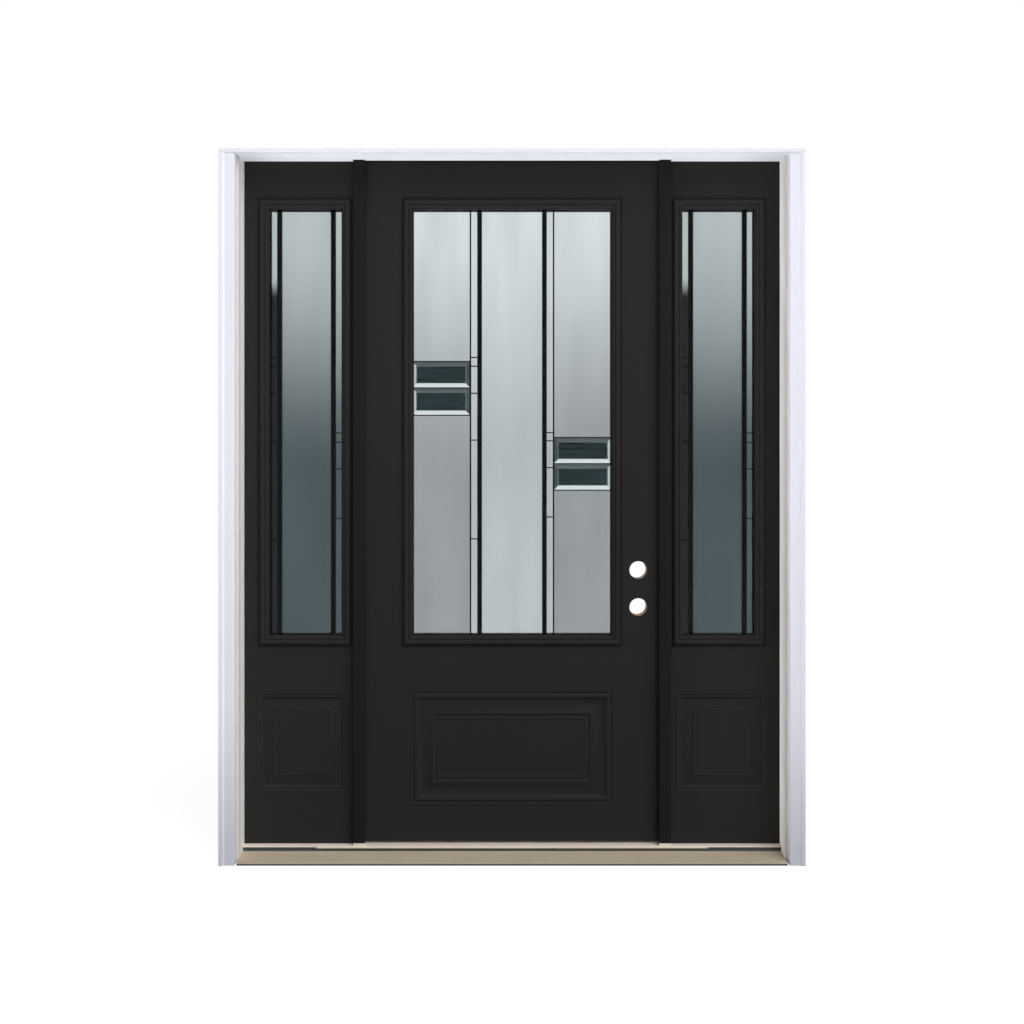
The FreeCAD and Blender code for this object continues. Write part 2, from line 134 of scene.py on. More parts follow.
class DoorMouldings(PropertyGroup):
    """Sizes of edges and profiles."""
    edge: length("Eased edge", "Radius on the edges of posts, jambs, caps and the head casing", 2)
    head_edge: length("Head edge", "Softened edge of the head jamb", 1.2)
    door_panel_margin: length("Door panel margin", "From the door's edges to its panel", 148)
    door_panel_foot: length("Door panel foot", "Height of the door panel's lower edge", 152)
    door_panel_height: length("Door panel height", "Height of the door panel", 341)
    side_panel_inner: length("Side panel inner margin", "From a sidelight's door side to its panel", 27)
    side_panel_outer: length("Side panel outer margin", "From a sidelight's wall side to its panel", 52)
    side_panel_foot: length("Side panel foot", "Height of a sidelight panel's lower edge", 191)
    side_panel_height: length("Side panel height", "Height of a sidelight panel", 296)
    rib_pitch: length("Rib pitch", "Spacing of the ribs along the sill deck", 13)
    rib_height: length("Rib height", "Height of the ribs on the sill deck", 0.9)
    mull_boot: length("Mull boot", "Height of the tan boot under each mull post", 8)
    lip_run: length("Lip run", "Reach of the door cap's lip past each mull post", 110)
    cap_lip: length("Cap lip", "Drop of the door cap's front lip below the cap", 3)
    deck_front: length("Deck front", "Thickness of the sill deck at its nose", 3)
    casing_step: length("Casing step", "Drop from the casing's outer band to its field", 4)
    casing_band: length("Casing band", "Width of the casing's raised outer band", 13)
    casing_edge: length("Casing edge", "Radius on the casing's edges", 3)
    fit: length("Sidelight fit", "Gap between a sidelight and its rabbets", 1)
    bulb: length("Bulb", "Width of the bulb seal", 6)
    sweep_root: length("Sweep root", "Thickness of the sweep between its fins", 1)
    fins: IntProperty(name="Sweep fins", description="Number of fins under the door", default=5, min=1)
    hinge_height: length("Hinge height", "Length of each hinge", 102)
    leaf: length("Hinge leaf", "Thickness of a hinge leaf", 3)
    screw_radius: length("Screw radius", "Radius of a hinge screw's head", 4)
    pin_head: length("Pin head", "Radius of a hinge pin's head", 6.3)


class DoorGlazing(PropertyGroup):
    """Sizes of the leaded glass between the panes."""
    rail: length("Moulding width", "Width of the moulding round each lite", 37)
    came_depth: length("Came depth", "Depth of the cames through the wall", 12)
    came_width: length("Came width", "Face width of the thin cames", 4.6)
    bar_width: length("Cross bar width", "Face width of the bars across strips and tiles", 3.4)
    door_came: length("Door came", "Thin came of the door, from the middle of its lite", 127)
    door_band: length("Door band", "Wide band of the door, from the middle of its lite", 99)
    door_band_width: length("Door band width", "Face width of the door's bands", 14.4)
    side_band: length("Sidelight band", "Wide band of a sidelight, from the middle of its lite", 82)
    side_band_width: length("Sidelight band width", "Face width of the sidelights' bands", 15)
    hold: length("Hold", "Depth of the leaded sheet inside its spacer", 3.5)
    sheet: length("Sheet thickness", "Thickness of the decorative sheet", 3)
    tile_bevel: length("Tile bevel", "Width of the ground bevel round a tile", 10)
    tile_arris: length("Tile arris", "Width of the polished line inside a tile's bevel", 3)
    tile_crown: length("Tile crown", "Rise of a tile's middle over its edge", 3)
    pebble: length("Pebble", "Spacing of the pebbles in the textured strips", 6)
    pebble_height: length("Pebble height", "Height of the pebbles in the textured strips", 0.8)


class DoorStudio(PropertyGroup):
    """Camera and studio."""
    distance: length("Distance", "Camera's distance in front of the jambs", 3232)
    height: length("Height", "Camera's height above the floor", 1200)
    lens: FloatProperty(name="Lens", description="Focal length in millimetres", default=38.2, min=1)
    shift: FloatProperty(name="Shift", description="Vertical shift that frames the unit", default=-0.052)
    floor: length("Floor", "Half width of the pale floor", 40000)
    backdrop: colour("Backdrop", "Pale floor and surroundings", "#FFFFFF")


def rounded(points, radius, steps=4):
    """Closed outline with eased corners.

    Each corner becomes a quadratic curve between the points one radius away along its two sides,
    with that reach held to 0.45 of the shorter side.
    """
    corner = np.asarray(points, float)
    back = np.roll(corner, 1, axis=0) - corner
    ahead = np.roll(corner, -1, axis=0) - corner
    back_length = np.linalg.norm(back, axis=1, keepdims=True)
    ahead_length = np.linalg.norm(ahead, axis=1, keepdims=True)
    reach = np.minimum(radius, 0.45 * np.minimum(back_length, ahead_length))
    start = corner + back * reach / back_length
    end = corner + ahead * reach / ahead_length
    t = np.linspace(0, 1, steps + 1)[:, None, None]
    curve = (1 - t) ** 2 * start + 2 * t * (1 - t) * corner + t ** 2 * end
    return curve.transpose(1, 0, 2).reshape(-1, 2)


def quads(rows, columns, loop_rows=False, loop_columns=True):
    """Faces of a grid of points: each joins four neighbours, and a looped side joins its two ends."""
    index = np.arange(rows * columns).reshape(rows, columns)
    if loop_rows:
        index = np.vstack([index, index[:1]])
    if loop_columns:
        index = np.hstack([index, index[:, :1]])
    corners = (index[:-1, :-1], index[1:, :-1], index[1:, 1:], index[:-1, 1:])
    return np.stack(corners, axis=-1).reshape(-1, 4)


def carry_round(profile, x_span, z_span, closed=True):
    """Mitred ring: a profile of (inset, depth) points carried round a rectangle.

    Each point traces the rectangle drawn in by its inset, at its own depth along Y. An open ring runs up
    the left, along the top and down the right, from feet at the lower height.
    """
    inset, depth = np.asarray(profile).T
    foot = z_span[0] + (inset if closed else 0 * inset)
    left, right, top = x_span[0] + inset, x_span[1] - inset, z_span[1] - inset
    x = np.stack([left, left, right, right])
    z = np.stack([foot, top, top, foot])
    points = np.stack([x, np.broadcast_to(depth, x.shape), z], axis=-1)
    count = len(inset)
    faces = [quads(4, count, loop_rows=closed)]
    if not closed:
        faces += [np.arange(count)[None], np.arange(3 * count, 4 * count)[None]]
    return points.reshape(-1, 3), faces


def carry_along(profile, plane, span):
    """Straight bar: a closed profile in two axes carried along the third, closed at both ends."""
    axis = 3 - sum(plane)
    count = len(profile)
    points = np.empty((2, count, 3))
    points[..., plane] = profile
    points[..., axis] = np.array(span)[:, None]
    ends = np.arange(2 * count).reshape(2, count)
    return points.reshape(-1, 3), [quads(2, count), ends[:1], ends[1:]]


def turn(profile, centre, axis, steps=20, lobes=0.0):
    """Turned piece: (radius, height) points spun about an axis through a centre, closed at both ends.

    Points whose third value is 1 have their radius swelled by lobes x cos(4 angle), a cross recess.
    """
    radius, height, swelled = np.asarray(profile, float).T[:, :, None]
    angle = np.linspace(0, 2 * np.pi, steps, endpoint=False)[None]
    reach = radius * (1 + swelled * lobes * np.cos(4 * angle))
    points = np.empty((len(radius), steps, 3))
    first, second = [other for other in range(3) if other != axis]
    points[..., first] = reach * np.cos(angle)
    points[..., second] = reach * np.sin(angle)
    points[..., axis] = np.broadcast_to(height, reach.shape)
    count = len(radius) * steps
    ends = np.arange(count).reshape(-1, steps)
    return points.reshape(-1, 3) + np.asarray(centre), [quads(len(radius), steps), ends[:1], ends[-1:]]


def block_outline(x_span, y_span):
    """Corners of a rectangle in two axes."""
    return [(x_span[0], y_span[0]), (x_span[1], y_span[0]), (x_span[1], y_span[1]), (x_span[0], y_span[1])]


def limits(node):
    """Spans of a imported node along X, Y and Z."""
    low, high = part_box(node)
    return [tuple(span) for span in zip(low, high)]


def outlined(points):
    """Profile points in millimetres as metres."""
    return np.array(points, float) * MM


def make_piece(name, shapes, material, body, slot, *stands_for):
    """Join (points, faces) shapes into one mesh at the origin, with its faces outwards, on a body."""
    points = np.concatenate([shape[0] for shape in shapes])
    starts = np.cumsum([0] + [len(shape[0]) for shape in shapes])
    faces = []
    for start, (_, blocks) in zip(starts, shapes):
        for rows in blocks:
            faces += (rows + start).tolist()
    mesh = bpy.data.meshes.new(name)
    mesh.from_pydata(points.tolist(), [], faces)
    shell = bmesh.new()
    shell.from_mesh(mesh)
    bmesh.ops.recalc_face_normals(shell, faces=shell.faces)
    shell.to_mesh(mesh)
    shell.free()
    mesh.shade_smooth()
    mesh.set_sharp_from_angle(angle=SHARP_EDGE)
    mesh.materials.append(material)
    piece = bpy.data.objects.new(name, mesh)
    bpy.context.scene.collection.objects.link(piece)
    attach(piece, body)
    if stands_for:
        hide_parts(*stands_for)
    return piece


def finish_node(node, material, edge=0.0):
    """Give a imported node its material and, where an edge is given, softened edges."""
    piece = frame["nodes"][node]
    piece.data.materials.clear()
    piece.data.materials.append(material)
    if edge:
        piece.modifiers.new("joined corners", "WELD").merge_threshold = MERGED_CORNER
        soft = piece.modifiers.new("softened edges", "BEVEL")
        soft.width = edge
        soft.segments = 2
        soft.limit_method = "ANGLE"
        soft.angle_limit = SHARP_EDGE


def per(millimetres):
    """Texture scale at which one feature of the pattern measures about that many millimetres."""
    return 1 / (millimetres * MM)


def toned(tint, gain):
    """A colour made lighter or darker by a gain."""
    return (*[min(1.0, channel * gain) for channel in tint[:3]], 1.0)


def feed(tree, node, inputs):
    """Fill a node's inputs: a socket is linked, anything else becomes the input's own value."""
    for key, value in inputs.items():
        if isinstance(value, NodeSocket):
            tree.links.new(value, node.inputs[key])
        else:
            node.inputs[key].default_value = value


def add(tree, kind, inputs=None, **settings):
    """Add a node with its settings and links."""
    node = tree.nodes.new(kind)
    for key, value in settings.items():
        setattr(node, key, value)
    feed(tree, node, inputs or {})
    return node


def made(finish):
    """The material that a finish describes, named after it and made when it is first asked for."""
    name = finish.__name__.replace("_", " ")
    material = bpy.data.materials.get(name)
    if material is None:
        material = bpy.data.materials.new(name)
        material.use_nodes = True
        tree = material.node_tree
        place = add(tree, "ShaderNodeTexCoord").outputs["Object"]
        finish(tree, tree.nodes["Principled BSDF"], place, bpy.context.scene.door_finishes)
    return material


def grains(tree, place, sizes, detail):
    """Pattern of soft grains that measure about the given millimetres along X, Y and Z."""
    along = add(tree, "ShaderNodeMapping", {"Vector": place, "Scale": [per(size) for size in sizes]})
    noise = add(tree, "ShaderNodeTexNoise",
                {"Vector": along.outputs["Vector"], "Scale": 1.0, "Detail": detail})
    return noise.outputs["Fac"]


def two_tone(tree, place, tint, tones, sizes, detail):
    """Pattern of grains, and a colour that wanders with it between two tones of a tint."""
    pattern = grains(tree, place, sizes, detail)
    low, high = [toned(tint, tone) for tone in tones]
    blend = add(tree, "ShaderNodeMix", {0: pattern, 6: low, 7: high}, data_type="RGBA")
    return pattern, blend.outputs[2]


def graded(tree, place, axis, span, tints, sizes, detail, spread):
    """Pattern of grains, and a colour that turns from one tint into another along an axis.

    The turn is a smooth step between two places in millimetres. The pattern then scales the colour,
    from 1 less the spread to 1 plus the spread.
    """
    run = add(tree, "ShaderNodeSeparateXYZ", {"Vector": place}).outputs[axis]
    start, end = span
    step = add(tree, "ShaderNodeMapRange", {"Value": run, "From Min": start * MM, "From Max": end * MM},
               interpolation_type="SMOOTHSTEP").outputs["Result"]
    ground = add(tree, "ShaderNodeMix", {0: step, 6: tints[0], 7: tints[1]}, data_type="RGBA").outputs[2]
    pattern = grains(tree, place, sizes, detail)
    uneven = add(tree, "ShaderNodeMapRange", {"Value": pattern, "To Min": 1 - spread, "To Max": 1 + spread})
    blend = add(tree, "ShaderNodeVectorMath", {"Vector": ground, "Scale": uneven.outputs["Result"]},
                operation="SCALE")
    return pattern, blend.outputs["Vector"]


def black_painted_fibreglass(tree, shader, place, finishes):
    """Skins pressed in a mould and sprayed with satin black paint."""
    # Deep black with a low sheen; spraying leaves a faint orange peel, drawn coarser than life to show
    peel = grains(tree, place, (4, 4, 4), 2.0)
    cloud, paint = two_tone(tree, place, finishes.black_paint, (0.93, 1.07), (300, 300, 300), 3.0)
    sheen = add(tree, "ShaderNodeMapRange", {"Value": cloud, "To Min": 0.44, "To Max": 0.58})
    skin = add(tree, "ShaderNodeBump", {"Height": peel, "Strength": 0.10, "Distance": 0.2 * MM})
    feed(tree, shader, {"Base Color": paint, "Roughness": sheen.outputs["Result"],
                        "Specular IOR Level": 0.02, "Normal": skin.outputs["Normal"]})


def shaded_black_post(tree, shader, place, finishes):
    """Mull posts wrapped in the same black, drawn darker as painted shade and one coat flatter."""
    # Darker than the skins as painted shade, and flatter, with drawing lines up the post
    _, paint = two_tone(tree, place, finishes.black_paint, (0.54, 0.64), (4, 4, 300), 3.0)
    feed(tree, shader, {"Base Color": paint, "Roughness": 0.6, "Specular IOR Level": 0.02})


def brushed_paint(tree, shader, place, tint, shaded_tint, run, roughness, wear_and_shade="Z", reach=500):
    """Paint brushed along one axis, drawn darker towards the low end of another axis over a reach in
    millimetres, as painted shade.
    """
    stroke_sizes = [5, 5, 5]
    stroke_sizes[run] = 350
    # Painted shade: the shaded tint lies at the low end of the axis and turns into the paint's own tint over
    # the reach
    strokes, paint = graded(tree, place, wear_and_shade, (0, reach), (shaded_tint, tint), stroke_sizes, 4.0, 0.05)
    groove = add(tree, "ShaderNodeBump", {"Height": strokes, "Strength": 0.12, "Distance": 0.2 * MM})
    feed(tree, shader, {"Base Color": paint, "Roughness": roughness, "Normal": groove.outputs["Normal"]})


def white_painted_casing(tree, shader, place, finishes):
    """Milled timber casing under cool white trim paint, brushed up and down."""
    # Smooth cool white, drawn darker towards the foot as painted shade
    white = finishes.casing_white
    brushed_paint(tree, shader, place, white, toned(white, 0.8), 2, 0.42)


def white_painted_head(tree, shader, place, finishes):
    """The same trim paint, brushed along the head casing and the head jamb."""
    # Smooth cool white with strokes from side to side
    brushed_paint(tree, shader, place, finishes.casing_white, finishes.casing_white, 0, 0.42)


def cream_primed_timber(tree, shader, place, finishes):
    """Finger-jointed jamb timber under a warm factory primer."""
    # Warmer and flatter than the casing, drawn greyer towards the outside as painted shade, with brush lines
    # up the post
    cream = finishes.jamb_cream
    brushed_paint(tree, shader, place, cream, toned(cream, 0.72), 2, 0.55, wear_and_shade="Y", reach=45)


def taupe_anodised_aluminium(tree, shader, place, finishes):
    """Extruded sill deck, anodised taupe and drawn along its length."""
    # Soft metal glow broken by long streaks, drawn wider than real die lines to show
    streak, metal = two_tone(tree, place, finishes.deck_taupe, (0.72, 1.3), (260, 2.2, 2.2), 5.0)
    scuff = grains(tree, place, (90, 90, 90), 4.0)
    wear_and_shade = add(tree, "ShaderNodeMapRange", {"Value": scuff, "To Min": 0.34, "To Max": 0.56})
    line = add(tree, "ShaderNodeBump", {"Height": streak, "Strength": 0.18, "Distance": 0.2 * MM})
    feed(tree, shader, {"Base Color": metal, "Metallic": 0.15, "Roughness": wear_and_shade.outputs["Result"],
                        "Normal": line.outputs["Normal"]})


def tan_moulded_composite(tree, shader, place, finishes):
    """Sill caps extruded from wood-filled composite."""
    # Matt tan with fine flecks of filler and faint lines along the extrusion
    fleck = grains(tree, place, (2.5, 2.5, 2.5), 3.0)
    _, ground = two_tone(tree, place, finishes.cap_tan, (0.86, 1.1), (400, 6, 6), 2.0)
    grain = add(tree, "ShaderNodeBump", {"Height": fleck, "Strength": 0.15, "Distance": 0.3 * MM})
    feed(tree, shader, {"Base Color": ground, "Roughness": 0.55, "Normal": grain.outputs["Normal"]})


def slate_moulded_composite(tree, shader, place, finishes):
    """Sill base moulded from dark recycled composite."""
    # Nearly black and matt, mottled where the filler shows
    mottle, ground = two_tone(tree, place, finishes.base_slate, (0.6, 1.2), (14, 14, 14), 4.0)
    grain = add(tree, "ShaderNodeBump", {"Height": mottle, "Strength": 0.2, "Distance": 0.4 * MM})
    feed(tree, shader, {"Base Color": ground, "Roughness": 0.7, "Normal": grain.outputs["Normal"]})


def laminated_timber(tree, shader, place, finishes):
    """Stiles and rails glued up from thin veneers."""
    # Warm brown edge with thin dark glue lines running the height of the slab
    veneer, wood = two_tone(tree, place, finishes.timber, (0.55, 1.25), (3, 3, 220), 3.0)
    line = add(tree, "ShaderNodeBump", {"Height": veneer, "Strength": 0.25, "Distance": 0.3 * MM})
    feed(tree, shader, {"Base Color": wood, "Roughness": 0.6, "Normal": line.outputs["Normal"]})


# Sheets close behind each other: a low index keeps their mirror images from piling up
THIN_GLASS = {"IOR": 1.15, "Transmission Weight": 1.0}


def clear_float_glass(tree, shader, place, finishes):
    """Tempered float panes of the sealed unit."""
    # Clear with the faintest green-grey cast and a slight uneven polish
    _, cast = two_tone(tree, place, finishes.pane, (0.98, 1.0), (160, 160, 160), 2.0)
    feed(tree, shader, {"Base Color": cast, "Roughness": 0.0, **THIN_GLASS})


def rolled_glass(tree, shader, place, head_tint, foot_tint, low=1150, high=1960):
    """Obscure rolled sheet whose tint deepens from head to foot, a painted reflection lightening the head,
    between two heights in millimetres.
    """
    _, body = graded(tree, place, "Z", (low, high), (foot_tint, head_tint), (70, 70, 500), 2.0, 0.2)
    feed(tree, shader, {"Base Color": body, "Roughness": 0.3, **THIN_GLASS})


def pale_rolled_glass(tree, shader, place, finishes):
    """Decorative sheet in the middle of the door, rolled nearly colourless."""
    # Pale grey with a breath of blue, almost even from head to foot
    rolled_glass(tree, shader, place, finishes.door_field, toned(finishes.door_field, 0.72))


def dove_rolled_glass(tree, shader, place, finishes):
    """Decorative sheets beside the door's cames, rolled a little greyer."""
    # As pale as the middle at the head, dove grey towards the foot
    rolled_glass(tree, shader, place, finishes.door_field, toned(finishes.door_field, 0.47))


def grey_rolled_glass(tree, shader, place, finishes):
    """Decorative sheet of the sidelights, rolled in grey."""
    # Grey-teal, lightened towards the head as a painted reflection
    rolled_glass(tree, shader, place, finishes.sidelight_top, finishes.sidelight_foot)


def smoked_rolled_glass(tree, shader, place, finishes):
    """Narrow strips on the left of each sidelight, rolled in smoked glass."""
    # Pale at the very head as a painted reflection, then nearly black
    smoke = toned(finishes.sidelight_foot, 0.15)
    rolled_glass(tree, shader, place, finishes.sidelight_top, smoke, low=1690, high=1760)


def ground_bevel_glass(tree, shader, place, finishes):
    """Thick smoked tiles with bevels ground and polished round them."""
    # Dark water-like middle inside bevels drawn clear and bright on the sides that would catch the light, a
    # painted highlight which the mesh marks with its own attribute
    rim = add(tree, "ShaderNodeAttribute", attribute_name="rim").outputs["Fac"]
    streak = grains(tree, place, (80, 80, 7), 2.0)
    smoke = add(tree, "ShaderNodeMapRange", {"Value": streak, "From Min": 0.3, "From Max": 0.7})
    dark, light = toned(finishes.tile, 0.3), toned(finishes.tile, 3.0)
    middle = add(tree, "ShaderNodeMix", {0: smoke.outputs["Result"], 6: dark, 7: light}, data_type="RGBA")
    body = add(tree, "ShaderNodeMix", {0: rim, 6: middle.outputs[2], 7: finishes.tile_rim}, data_type="RGBA")
    feed(tree, shader, {"Base Color": body.outputs[2], "Roughness": 0.0, **THIN_GLASS})


def black_patina_came(tree, shader, place, finishes):
    """Zinc cames blackened with a patina."""
    # Nearly black metal, a little paler and duller where the patina is thick
    patina, metal = two_tone(tree, place, finishes.came, (0.7, 1.5), (25, 25, 25), 4.0)
    dull = add(tree, "ShaderNodeMapRange", {"Value": patina, "To Min": 0.28, "To Max": 0.5})
    feed(tree, shader, {"Base Color": metal, "Metallic": 1.0, "Roughness": dull.outputs["Result"]})


def mill_finish_aluminium(tree, shader, place, finishes):
    """Roll-formed spacer bars between the panes."""
    # Plain bright metal with fine rolling lines
    _, metal = two_tone(tree, place, finishes.spacer, (0.8, 1.1), (3, 1.5, 3), 2.0)
    feed(tree, shader, {"Base Color": metal, "Metallic": 1.0, "Roughness": 0.4})


def satin_nickel_steel(tree, shader, place, finishes):
    """Pressed steel hinges with satin nickel plating."""
    # Warm silver, brushed up and down
    brush, metal = two_tone(tree, place, finishes.nickel, (0.78, 1.1), (1.2, 1.2, 60), 3.0)
    satin = add(tree, "ShaderNodeMapRange", {"Value": brush, "To Min": 0.26, "To Max": 0.42})
    feed(tree, shader, {"Base Color": metal, "Metallic": 1.0, "Roughness": satin.outputs["Result"]})


def dark_foam_vinyl(tree, shader, place, finishes):
    """Foam core in a vinyl jacket."""
    # Dull near-black with a leathery pore
    pore, jacket = two_tone(tree, place, finishes.seal, (0.7, 1.3), (3, 3, 3), 3.0)
    crease = add(tree, "ShaderNodeBump", {"Height": pore, "Strength": 0.25, "Distance": 0.3 * MM})
    feed(tree, shader, {"Base Color": jacket, "Roughness": 0.65, "Normal": crease.outputs["Normal"]})


# Bars of the leaded glass in millimetres above the floor, from the top down
DOOR_STRIP_BARS = {"left": (1510, 1483, 1400, 1257, 955), "right": (1280, 1255, 1173, 1022)}
DOOR_TILE_BARS = {"left": (1497, 1416.5, 1333), "right": (1265, 1185, 1104)}
SIDELIGHT_STRIP_BARS = {"left": (1510, 1482, 1399, 1252, 951), "right": (1279, 1250, 1169, 1018)}

# Moulding round a lite, in millimetres: inset from its outer edge, and depth behind its front
GLAZING_MOULDING = [
    (0, 12), (0, 10.4), (0.7, 9.7), (2.2, 9.7), (2.6, 11.7), (4.4, 11.7), (4.8, 8.6), (6.2, 8.4),
    (6.6, 10.6), (8.2, 10.6), (8.6, 4.4), (10, 2.2), (14, 0.4), (19, 0.6), (22.4, 2.2), (23, 5.4),
    (25.4, 5.4), (26, 3.4), (28, 3.2), (31, 5), (34.4, 12), (35, 11.4), (36, 12.2), (37, 21.9),
    (21, 22), (21, 12),
]

# Edges of the embossed panels, in millimetres: inset from the panel's edge, and depth below the skin.
# The last few points of each run back under the skin, so that the moulding lies on it.
# Door: a lip, a groove, a crest, a cove that rises in a bevel to a second crest, a groove and the rim
DOOR_PANEL_MOULDING = [
    (-4.6, 0.4), (-4, -1), (-1.8, -1.6), (0, -1.4), (4.4, 1.5), (5.4, 1.6), (11.6, -2.6), (13.4, -3.1),
    (16, -2.9), (19, -1.4), (22.5, 1.3), (26, 3.6), (30, 5.2), (34, 6.2), (38, 6.7), (41, 6.6),
    (48, 4.9), (54, 2.9), (57, 1.2), (60, 0.4), (65.6, -2), (67.6, -2.1), (73, 2), (75, 2),
    (80.4, -0.3), (82, -0.4), (85, 0.6), (87, 2.2),
    (84, 4), (70, 6), (52, 7.8), (20, 7.8), (4, 2.6), (0, 1),
]
# Sidelights: two steps down, a straight bevel and the rim of the field
SIDE_PANEL_MOULDING = [
    (-3.4, 0.4), (-2.8, -1.1), (-1.2, -1.4), (0.2, -1.3), (4, 1.2), (6, 1.3), (10, 0.9), (12, 1),
    (16.4, 6), (18, 6.6), (20, 6.6), (22, 6.2), (46, 1.8), (47.4, 0.4), (49, 0), (51, 0.2), (54, 1.4),
    (55, 2.2), (52, 4), (30, 7.8), (14, 7.8), (4, 2.6), (0, 1),
]

# Hinges up the door, and places of a leaf's screws from the lowest up, as shares of the leaf's depth
HINGES = 3
SCREW_COLUMNS = (0.28, 0.62, 0.28, 0.62)
# Screw head: share of its radius, height over the leaf in millimetres, and 1 where the recess swells it;
# then how far the cross recess swells
SCREW_HEAD = [(0.8, -1, 0), (1, 0, 0), (0.94, 0.2, 0), (0.42, 0.2, 1), (0.3, -0.5, 1), (0.06, -0.6, 0)]
RECESS_LOBES = 0.45
# Pin head: share of its radius and height over the knuckles in millimetres, with no recess; then the
# height of a pin's lower head beside its upper one
PIN_HEAD = [(1, 0, 0), (1, 1.4, 0), (0.82, 2.8, 0), (0.45, 3.6, 0), (0.1, 3.8, 0)]
LOWER_HEAD = 0.6

# Studio floor: its share of white near the door, its glow further off, and the radii between which it
# turns from one to the other; then the share of the white surroundings that falls on the door as light
FLOOR_GREY = 0.22
FLOOR_GLOW = 0.85
GLOW_RADII = (1.2, 2.6)
FALLING_LIGHT = 0.1


def seen_rays(tree):
    """1 for camera, glossy and transmission rays, which see the surroundings, and 0 for falling light."""
    path = add(tree, "ShaderNodeLightPath").outputs
    camera, glossy, through = [path[f"Is {kind} Ray"] for kind in ("Camera", "Glossy", "Transmission")]
    direct = add(tree, "ShaderNodeMath", {0: camera, 1: glossy}, operation="ADD")
    either = add(tree, "ShaderNodeMath", {0: direct.outputs[0], 1: through}, operation="ADD", use_clamp=True)
    return either.outputs[0]


def hang_lamp(name, kind, place, target, spread, power, shines=False):
    """Soft lamp at a place, turned towards a target; one that shines is mirrored in glossy paint."""
    lamp = bpy.data.lights.new(name, kind)
    setattr(lamp, "angle" if kind == "SUN" else "size", spread)
    lamp.energy = power
    holder = bpy.data.objects.new(name, lamp)
    holder.visible_camera = False
    holder.visible_transmission = False
    holder.visible_glossy = shines
    holder.location = place
    holder.rotation_euler = (Vector(target) - Vector(place)).to_track_quat("-Z", "Y").to_euler()
    bpy.context.scene.collection.objects.link(holder)
    return lamp


def hang_batten(name, place, target, size, power):
    """Long lamp with a narrow beam, for one inner side of the frame."""
    lamp = hang_lamp(name, "AREA", place, target, size[0], power)
    lamp.shape = "RECTANGLE"
    lamp.size_y = size[1]
    lamp.spread = radians(10)


class DOOR_OT_studio(Operator):
    """Set up the camera, the lamps, the pale floor and the white surroundings"""
    bl_idname = "door.studio"
    bl_label = "Studio"

    def execute(self, context):
        scene = context.scene
        studio = scene.door_studio
        scene.view_settings.view_transform = "Standard"
        self.set_camera(scene, studio)
        self.hang_lamps()
        self.lay_floor(scene, studio)
        self.surround(scene, studio)
        return {"FINISHED"}

    def set_camera(self, scene, studio):
        """Level camera in front of the middle of the door, shifted down to frame the unit."""
        camera = bpy.data.cameras.new("front camera")
        camera.lens = studio.lens
        camera.shift_y = studio.shift
        tripod = bpy.data.objects.new("front camera", camera)
        tripod.location = (0, -studio.distance, studio.height)
        tripod.rotation_euler = (radians(90), 0, 0)
        scene.collection.objects.link(tripod)
        scene.camera = tripod

    def hang_lamps(self):
        """A wide key sun, a fill from each side, a rear sun, and battens for the head and the jambs."""
        middle = (0, 0, 1.1)
        hang_lamp("key light", "SUN", place=(4.0, -6.0, 8.0), target=middle, spread=radians(55), power=2.5,
                  shines=True)
        hang_lamp("left fill lamp", "AREA", place=(-9.0, -0.6, 1.6), target=middle, spread=1.0, power=260)
        hang_lamp("right fill lamp", "AREA", place=(9.0, -0.6, 1.6), target=middle, spread=1.0, power=90)
        hang_lamp("rear light", "SUN", place=(-2.6, 5.0, 4.0), target=middle, spread=radians(40), power=1.2)
        hang_batten("head batten", place=(0, -0.1, 0.02), target=(0, 0.03, 2.1),
                    size=(1.6, 0.05), power=0.75)
        hang_batten("left jamb batten", place=(0.7, -0.25, 1.05), target=(-0.81, 0.04, 1.05),
                    size=(0.05, 2.0), power=0.16)
        hang_batten("right jamb batten", place=(-0.7, -0.25, 1.05), target=(0.81, 0.04, 1.05),
                    size=(0.05, 2.0), power=0.4)

    def lay_floor(self, scene, studio):
        """Wide floor under the unit."""
        # Grey close to the door and aglow further off, so that light thrown up from the floor reaches the
        # head of the frame without washing out the panels; to the eye it is white, with the unit's shadow
        floor = bpy.data.materials.new("pale studio floor")
        floor.use_nodes = True
        tree = floor.node_tree
        place = add(tree, "ShaderNodeTexCoord").outputs["Object"]
        radius = add(tree, "ShaderNodeVectorMath", {0: place}, operation="LENGTH").outputs["Value"]
        near, full = GLOW_RADII
        far = add(tree, "ShaderNodeMapRange", {"Value": radius, "From Min": near, "From Max": full},
                  interpolation_type="SMOOTHSTEP").outputs["Result"]
        lit = add(tree, "ShaderNodeMath", {0: seen_rays(tree), 1: far}, operation="MAXIMUM")
        shine = add(tree, "ShaderNodeMath", {0: lit.outputs[0], 1: FLOOR_GLOW}, operation="MULTIPLY")
        feed(tree, tree.nodes["Principled BSDF"], {
            "Base Color": toned(studio.backdrop, FLOOR_GREY), "Roughness": 1.0, "Specular IOR Level": 0.0,
            "Emission Color": studio.backdrop, "Emission Strength": shine.outputs[0]})
        reach = studio.floor
        corners = [(x, y, 0) for x, y in block_outline((-reach, reach), (-reach, reach))]
        sheet = bpy.data.meshes.new("studio floor")
        sheet.from_pydata(corners, [], [(0, 1, 2, 3)])
        sheet.materials.append(floor)
        ground = bpy.data.objects.new("studio floor", sheet)
        scene.collection.objects.link(ground)

    def surround(self, scene, studio):
        """Surroundings that look white and throw little light."""
        world = bpy.data.worlds.new("white surroundings")
        world.use_nodes = True
        scene.world = world
        tree = world.node_tree
        level = add(tree, "ShaderNodeMapRange",
                    {"Value": seen_rays(tree), "To Min": FALLING_LIGHT, "To Max": 1.0}).outputs["Result"]
        feed(tree, tree.nodes["Background"], {"Color": studio.backdrop, "Strength": level})


